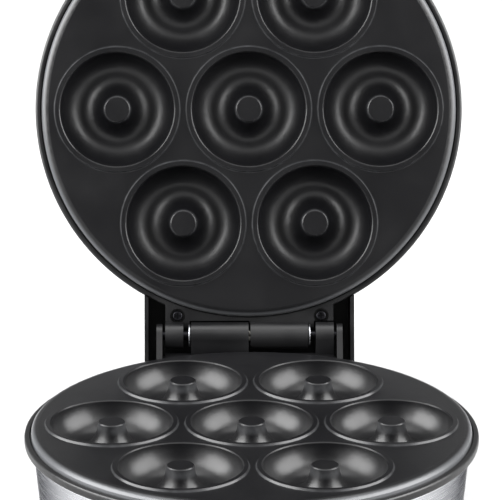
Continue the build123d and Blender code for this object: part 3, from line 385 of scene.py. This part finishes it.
def make_finishes():
    """All finishes, by the record's slot name; a lid version where a pattern has a direction."""
    return {
        "stainless_steel": brushed_stainless("Brushed stainless steel", False),
        "stainless_steel_lid": brushed_stainless("Brushed stainless steel, lid", True),
        "black_plastic": moulded_plastic("Moulded black PBT", "#060607", "#0C0C0D"),
        "nonstick_casting": coated_casting("Non-stick coated cast aluminium", False),
        "nonstick_casting_lid": coated_casting("Non-stick coated cast aluminium, lid", True),
        "blackened_steel": plain_metal("Black-oxide steel", "#1B1B1D", "#2C2C2F", 0.36, 0.6),
        "element_sheath": plain_metal("Heat-dulled element sheath", "#5B5248", "#7D756B", 0.42, 0.8),
        "spring_steel": plain_metal("Spring steel strip", "#7C7D80", "#96979A", 0.35, 0.5),
        "aluminised_steel": plain_metal("Aluminised steel sheet", "#A9AAAB", "#C4C5C6", 0.38, 2.0),
        "zinc_steel": plain_metal("Zinc-plated steel", "#A8AAAE", "#C6C8CC", 0.27, 0.6),
        "ceramic": dull_solid("Unglazed steatite", "#CFC9BB", "#DDD8CC", 0.62, 0.5, 0.15),
        "black_rubber": dull_solid("Black rubber", "#131313", "#1C1C1C", 0.68, 0.6),
        "wire_insulation": dull_solid("Braided glass sleeving", "#C9C6BC", "#DEDCD3", 0.7, 0.7, 0.6),
        "red_lens": clear_solid("Red polycarbonate", "#8E0E10", "#B3181A", 0.35),
        "green_lens": clear_solid("Green polycarbonate", "#0E6A28", "#178A38", 0.35),
        "lamp_glass": clear_solid("Neon lamp glass", "#E6D2C0", "#F2E6DA", 0.7),
    }


FINISH = make_finishes()


def finish_for(slot, body):
    """The slot's finish, in its lid version on the lid where there is one."""
    return FINISH.get(f"{slot}_{body}", FINISH[slot])


# ---- mesh helpers -------------------------------------------------------------------------


def settle(bm, name, slot, body):
    """Makes a piece from a mesh drawn rim up, places it on its body and gives it a finish."""
    bmesh.ops.transform(bm, matrix=BODY_PLACE[body], verts=bm.verts)
    bmesh.ops.recalc_face_normals(bm, faces=bm.faces)
    mesh = bpy.data.meshes.new(name)
    bm.to_mesh(mesh)
    bm.free()
    piece = bpy.data.objects.new(name, mesh)
    bpy.context.scene.collection.objects.link(piece)
    mesh.materials.append(finish_for(slot, body))
    mesh.shade_smooth()
    mesh.set_sharp_from_angle(angle=SMOOTH_ANGLE)
    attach(piece, body)
    return piece


def studio_air():
    """A white room: dark behind the camera, bright round that, dimmer behind the machine."""
    world = bpy.data.worlds.new("Studio air")
    world.use_nodes = True
    tree = world.node_tree
    way = add(tree, "ShaderNodeTexCoord").outputs["Generated"]
    facing = add(
        tree, "ShaderNodeVectorMath", links=[(0, way)], values=[(1, AIR_FRONT)], operation="DOT_PRODUCT"
    ).outputs["Value"]
    ramp = add(tree, "ShaderNodeValToRGB", links=[("Fac", facing)])
    stops = ramp.color_ramp.elements
    while len(stops) < len(AIR_BANDS):
        stops.new(1.0)
    for stop, (place, level) in zip(stops, AIR_BANDS):
        stop.position = place
        stop.color = (level, level, level, 1)
    sky = tree.nodes["Background"]
    tree.links.new(ramp.outputs["Color"], sky.inputs["Color"])
    sky.inputs["Strength"].default_value = AIR_STRENGTH
    return world


# ---- geometry nodes ---------------------------------------------------------------------------


def new_tree(name, sockets):
    """An empty tree with its group sockets; each is (name, kind, default)."""
    tree = bpy.data.node_groups.new(name, "GeometryNodeTree")
    for label, kind, default in sockets:
        socket = tree.interface.new_socket(label, in_out="INPUT", socket_type=kind)
        if default is not None:
            socket.default_value = default
    tree.interface.new_socket("Geometry", in_out="OUTPUT", socket_type="NodeSocketGeometry")
    return tree, add(tree, "NodeGroupInput").outputs, add(tree, "NodeGroupOutput").inputs


def repeat_along(tree, given, shape, result):
    """Sets copies of shape along a row, realises them and gives them their finish."""
    row = add(
        tree,
        "GeometryNodeMeshLine",
        links=[("Count", given["Count"]), ("Offset", given["Step"])],
        mode="OFFSET",
    )
    copies = add(
        tree, "GeometryNodeInstanceOnPoints", links=[("Points", row.outputs[0]), ("Instance", shape)]
    )
    solid = add(tree, "GeometryNodeRealizeInstances", links=[("Geometry", copies.outputs[0])])
    done = add(
        tree, "GeometryNodeSetMaterial", links=[("Geometry", solid.outputs[0]), ("Material", given["Finish"])]
    )
    tree.links.new(done.outputs[0], result["Geometry"])


def ring_row_tree():
    """A row of rings with a rounded-rectangle section, for washers and bezels."""
    tree, given, result = new_tree(
        "Row of rings",
        (
            ("Count", "NodeSocketInt", 2),
            ("Step", "NodeSocketVector", (0.0, 0.0, 0.01)),
            ("Radius", "NodeSocketFloat", 0.004),
            ("Section Width", "NodeSocketFloat", 0.001),
            ("Section Height", "NodeSocketFloat", 0.001),
            ("Section Corner", "NodeSocketFloat", 0.0002),
            ("Finish", "NodeSocketMaterial", None),
        ),
    )
    path = add(
        tree,
        "GeometryNodeCurvePrimitiveCircle",
        links=[("Radius", given["Radius"])],
        values=[("Resolution", 64)],
    )
    square = add(
        tree,
        "GeometryNodeCurvePrimitiveQuadrilateral",
        links=[("Width", given["Section Width"]), ("Height", given["Section Height"])],
    )
    rounded = add(
        tree,
        "GeometryNodeFilletCurve",
        links=[("Curve", square.outputs[0]), ("Radius", given["Section Corner"])],
        values=[("Count", 3)],
        mode="POLY",
    )
    ring = add(
        tree,
        "GeometryNodeCurveToMesh",
        links=[("Curve", path.outputs[0]), ("Profile Curve", rounded.outputs[0])],
    )
    repeat_along(tree, given, ring.outputs[0], result)
    return tree


def rib_row_tree():
    """A row of round-backed ribs that run along Y and taper into the face at both ends."""
    tree, given, result = new_tree(
        "Row of grip ribs",
        (
            ("Count", "NodeSocketInt", 5),
            ("Step", "NodeSocketVector", (0.003, 0.0, 0.0)),
            ("Length", "NodeSocketFloat", 0.016),
            ("Width", "NodeSocketFloat", 0.0014),
            ("Finish", "NodeSocketMaterial", None),
        ),
    )
    half = add(tree, "ShaderNodeMath", links=[(0, given["Length"])], values=[(1, 0.5)], operation="MULTIPLY")
    back = add(tree, "ShaderNodeMath", links=[(0, given["Length"])], values=[(1, -0.5)], operation="MULTIPLY")
    start_at = add(tree, "ShaderNodeCombineXYZ", links=[("Y", back.outputs[0])])
    end_at = add(tree, "ShaderNodeCombineXYZ", links=[("Y", half.outputs[0])])
    line = add(
        tree,
        "GeometryNodeCurvePrimitiveLine",
        links=[("Start", start_at.outputs[0]), ("End", end_at.outputs[0])],
    )
    steps = add(tree, "GeometryNodeResampleCurve", links=[("Curve", line.outputs[0])], values=[("Count", 17)])
    along = add(tree, "GeometryNodeSplineParameter")
    dome = add(
        tree,
        "ShaderNodeFloatCurve",
        links=[("Value", along.outputs["Factor"])],
    )
    points = dome.mapping.curves[0].points
    points[0].location = (0.0, 0.02)
    points[1].location = (1.0, 0.02)
    for place, level in ((0.03, 0.6), (0.09, 0.97), (0.5, 1.0), (0.91, 0.97), (0.97, 0.6)):
        points.new(place, level)
    dome.mapping.update()
    swollen = add(
        tree,
        "GeometryNodeSetCurveRadius",
        links=[("Curve", steps.outputs[0]), ("Radius", dome.outputs[0])],
    )
    radius = add(tree, "ShaderNodeMath", links=[(0, given["Width"])], values=[(1, 0.5)], operation="MULTIPLY")
    section = add(
        tree,
        "GeometryNodeCurvePrimitiveCircle",
        links=[("Radius", radius.outputs[0])],
        values=[("Resolution", 16)],
    )
    thickness = add(tree, "GeometryNodeInputRadius")
    rib = add(
        tree,
        "GeometryNodeCurveToMesh",
        links=[
            ("Curve", swollen.outputs[0]),
            ("Profile Curve", section.outputs[0]),
            ("Scale", thickness.outputs[0]),
        ],
        values=[("Fill Caps", True)],
    )
    repeat_along(tree, given, rib.outputs[0], result)
    return tree


def grow(tree, **inputs):
    """Runs a tree once with the given inputs and returns its mesh as a bmesh."""
    holder = bpy.data.objects.new("grower", bpy.data.meshes.new("grower"))
    bpy.context.scene.collection.objects.link(holder)
    modifier = holder.modifiers.new("grow", "NODES")
    modifier.node_group = tree
    keys = {item.name: item.identifier for item in tree.interface.items_tree if item.in_out == "INPUT"}
    for label, value in inputs.items():
        modifier[keys[label.replace("_", " ")]] = value
    seen = holder.evaluated_get(bpy.context.evaluated_depsgraph_get())
    mesh = bpy.data.meshes.new_from_object(seen)
    holder.modifiers.remove(modifier)
    bpy.data.objects.remove(holder)
    bm = bmesh.new()
    bm.from_mesh(mesh)
    bpy.data.meshes.remove(mesh)
    bmesh.ops.remove_doubles(bm, verts=bm.verts, dist=MERGE_WITHIN)
    return bm


def join(target, extra, matrix):
    """Adds a placed bmesh to another one."""
    bmesh.ops.transform(extra, matrix=matrix, verts=extra.verts)
    mesh = bpy.data.meshes.new("extra")
    extra.to_mesh(mesh)
    extra.free()
    target.from_mesh(mesh)
    bpy.data.meshes.remove(mesh)


# ---- settings ---------------------------------------------------------------------------------


class StudioSettings(bpy.types.PropertyGroup):
    """The floor and the view"""

    floor_color: bpy.props.FloatVectorProperty(
        name="Floor colour",
        description="Colour of the floor",
        subtype="COLOR",
        size=3,
        default=(0.38, 0.38, 0.38),
    )
    camera_distance: bpy.props.FloatProperty(
        name="Camera distance", description="From the base's centre", default=1.7, unit="LENGTH", min=0.5
    )
    camera_lens: bpy.props.FloatProperty(
        name="Lens", description="Focal length", default=250.9, unit="CAMERA", min=20
    )
    camera_pitch: bpy.props.FloatProperty(
        name="Camera pitch",
        description="How far the camera looks down",
        default=math.radians(17.65),
        subtype="ANGLE",
    )


def length(name, description, default):
    """A length in metres for the settings."""
    return bpy.props.FloatProperty(
        name=name, description=description, default=default, unit="LENGTH", min=0.0, precision=5
    )


class FittingSettings(bpy.types.PropertyGroup):
    """Sizes of the washers, bezels and grip ribs"""

    washer_place: length("Washer place", "From the middle of the hinge to each washer", 0.0310)
    washer_radius: length("Washer radius", "Middle of the washer's width", 0.0042)
    washer_width: length("Washer width", "From its hole to its edge", 0.0030)
    washer_thickness: length("Washer thickness", "Along the pin", 0.0008)
    bezel_radius: length("Bezel radius", "Middle of the bezel's section", 0.0035)
    grip_pitch: length("Rib pitch", "From one rib to the next", 0.0026)
    grip_length: length("Rib length", "Along the handle", 0.016)
    grip_width: length("Rib width", "Across one rib", 0.0014)
    grip_middle: length("Patch place", "From the handle's middle to the middle of a patch", 0.0215)
    grip_count: bpy.props.IntProperty(
        name="Ribs in a patch", description="How many ribs each patch has", default=5, min=1
    )


# ---- operators --------------------------------------------------------------------------------


class OBJECT_OT_doughnut_finishes(bpy.types.Operator):
    """Give every part of the machine its own finish"""

    bl_idname = "object.doughnut_finishes"
    bl_label = "Finishes"

    def execute(self, context):
        slots = {s["node"]: s["material_slot"] for s in frame["record"]["subparts"]}
        for body, members in frame["record"]["behaviour"]["bodies"].items():
            for name in members:
                part = frame["nodes"][name]
                for slot in part.material_slots:
                    slot.material = finish_for(slots[name], body)
        return {"FINISHED"}


class OBJECT_OT_doughnut_washers(bpy.types.Operator):
    """Slip a thin steel washer on each hinge pin, against its barrel"""

    bl_idname = "object.doughnut_washers"
    bl_label = "Hinge washers"

    def execute(self, context):
        settings = context.scene.doughnut_fittings
        reach = settings.washer_place
        finish = finish_for("zinc_steel", "base")
        bm = grow(
            ring_row_tree(),
            Count=2,
            Step=(0.0, 0.0, 2 * reach),
            Radius=settings.washer_radius,
            Section_Width=settings.washer_width,
            Section_Height=settings.washer_thickness,
            Section_Corner=settings.washer_thickness / 4,
            Finish=finish,
        )
        place = Matrix.Translation(HINGE_POINT - Vector((reach, 0, 0))) @ Matrix.Rotation(math.pi / 2, 4, "Y")
        bmesh.ops.transform(bm, matrix=place, verts=bm.verts)
        settle(bm, "hinge_washers", "zinc_steel", "base")
        return {"FINISHED"}


class OBJECT_OT_doughnut_bezels(bpy.types.Operator):
    """Set a bright bezel round each lamp's lens"""

    bl_idname = "object.doughnut_bezels"
    bl_label = "Lamp bezels"

    def execute(self, context):
        settings = context.scene.doughnut_fittings
        bm = grow(
            ring_row_tree(),
            Count=2,
            Step=(2 * LENS_X, 0.0, 0.0),
            Radius=settings.bezel_radius,
            Section_Width=BEZEL_WIDTH,
            Section_Height=BEZEL_HEIGHT,
            Section_Corner=BEZEL_CORNER,
            Finish=finish_for("zinc_steel", "lid"),
        )
        place = Matrix.Translation((-LENS_X, LENS_Y, HANDLE_FACE))
        bmesh.ops.transform(bm, matrix=place, verts=bm.verts)
        settle(bm, "lamp_bezels", "zinc_steel", "lid")
        return {"FINISHED"}


class OBJECT_OT_doughnut_grips(bpy.types.Operator):
    """Raise a patch of grip ribs on both sides of each handle's outer face"""

    bl_idname = "object.doughnut_grips"
    bl_label = "Grip ribs"

    def execute(self, context):
        settings = context.scene.doughnut_fittings
        tree = rib_row_tree()
        for name, body in (("lower_grip_ribs", "base"), ("upper_grip_ribs", "lid")):
            bm = bmesh.new()
            for side in (-1, 1):
                first = side * settings.grip_middle - 0.5 * settings.grip_pitch * (settings.grip_count - 1)
                patch = grow(
                    tree,
                    Count=settings.grip_count,
                    Step=(settings.grip_pitch, 0.0, 0.0),
                    Length=settings.grip_length,
                    Width=settings.grip_width,
                    Finish=finish_for("black_plastic", body),
                )
                join(bm, patch, Matrix.Translation((first, GRIP_Y, HANDLE_FACE)))
            settle(bm, name, "black_plastic", body)
        return {"FINISHED"}


class OBJECT_OT_doughnut_stage(bpy.types.Operator):
    """Lay the floor, hang the soft lights and place the camera"""

    bl_idname = "object.doughnut_stage"
    bl_label = "Studio"

    def execute(self, context):
        settings = context.scene.doughnut_studio
        scene = context.scene
        mesh = bpy.data.meshes.new("studio_floor")
        bm = bmesh.new()
        bmesh.ops.create_grid(bm, x_segments=1, y_segments=1, size=FLOOR_HALF)
        bm.to_mesh(mesh)
        bm.free()
        floor = bpy.data.objects.new("studio_floor", mesh)
        scene.collection.objects.link(floor)
        paint, tree, shader, _ = start("Matt studio paint", "#F4F4F4", 0.9)
        shader.inputs["Base Color"].default_value = (*settings.floor_color, 1)
        mesh.materials.append(paint)

        scene.world = studio_air()
        for name, place, aim, size, power in SOFT_BOXES:
            lamp = bpy.data.lights.new(name, "AREA")
            lamp.shape = "RECTANGLE"
            lamp.size, lamp.size_y = size
            lamp.energy = power
            held = bpy.data.objects.new(name, lamp)
            held.location = place
            held.rotation_euler = (Vector(aim) - Vector(place)).to_track_quat("-Z", "Y").to_euler()
            scene.collection.objects.link(held)

        # The view: straight from the front, a little above, through a long lens.
        pitch = settings.camera_pitch
        level = Vector((math.sin(CAMERA_YAW), math.cos(CAMERA_YAW), 0))
        ahead = math.cos(pitch) * level - Vector((0, 0, math.sin(pitch)))
        right = Vector((math.cos(CAMERA_YAW), -math.sin(CAMERA_YAW), 0))
        above = right.cross(ahead)
        target = Vector((0, 0, MOULD_TOP)) + AIM_RIGHT * right + AIM_ABOVE * above
        eye = bpy.data.cameras.new("view")
        eye.sensor_width = SENSOR_MM
        eye.lens = settings.camera_lens
        eye.clip_end = SIGHT_LIMIT
        camera = bpy.data.objects.new("view", eye)
        turn = Matrix((right, above, -ahead)).transposed().to_4x4()
        camera.matrix_world = Matrix.Translation(target - settings.camera_distance * ahead) @ turn
        scene.collection.objects.link(camera)
        scene.camera = camera
        scene.view_settings.view_transform = "Standard"
        return {"FINISHED"}


class VIEW3D_PT_doughnut(bpy.types.Panel):
    """Buttons and settings for the doughnut maker"""

    bl_label = "Doughnut maker"
    bl_space_type = "VIEW_3D"
    bl_region_type = "UI"
    bl_category = "Doughnut maker"

    def draw(self, context):
        for op in OPERATORS:
            self.layout.operator(op.bl_idname)
        for holder, kind in SETTINGS.items():
            for prop in kind.__annotations__:
                self.layout.prop(getattr(context.scene, holder), prop)


OPERATORS = (
    OBJECT_OT_doughnut_stage,
    OBJECT_OT_doughnut_finishes,
    OBJECT_OT_doughnut_washers,
    OBJECT_OT_doughnut_bezels,
    OBJECT_OT_doughnut_grips,
)
SETTINGS = {"doughnut_studio": StudioSettings, "doughnut_fittings": FittingSettings}
CLASSES = (*SETTINGS.values(), *OPERATORS, VIEW3D_PT_doughnut)


def register():
    for cls in CLASSES:
        bpy.utils.register_class(cls)
    for holder, kind in SETTINGS.items():
        setattr(bpy.types.Scene, holder, bpy.props.PointerProperty(type=kind))


def unregister():
    for holder in SETTINGS:
        delattr(bpy.types.Scene, holder)
    for cls in reversed(CLASSES):
        bpy.utils.unregister_class(cls)


def main():
    register()
    for op in OPERATORS:
        group, name = op.bl_idname.split(".")
        getattr(getattr(bpy.ops, group), name)()


if __name__ == "__main__":
    main()
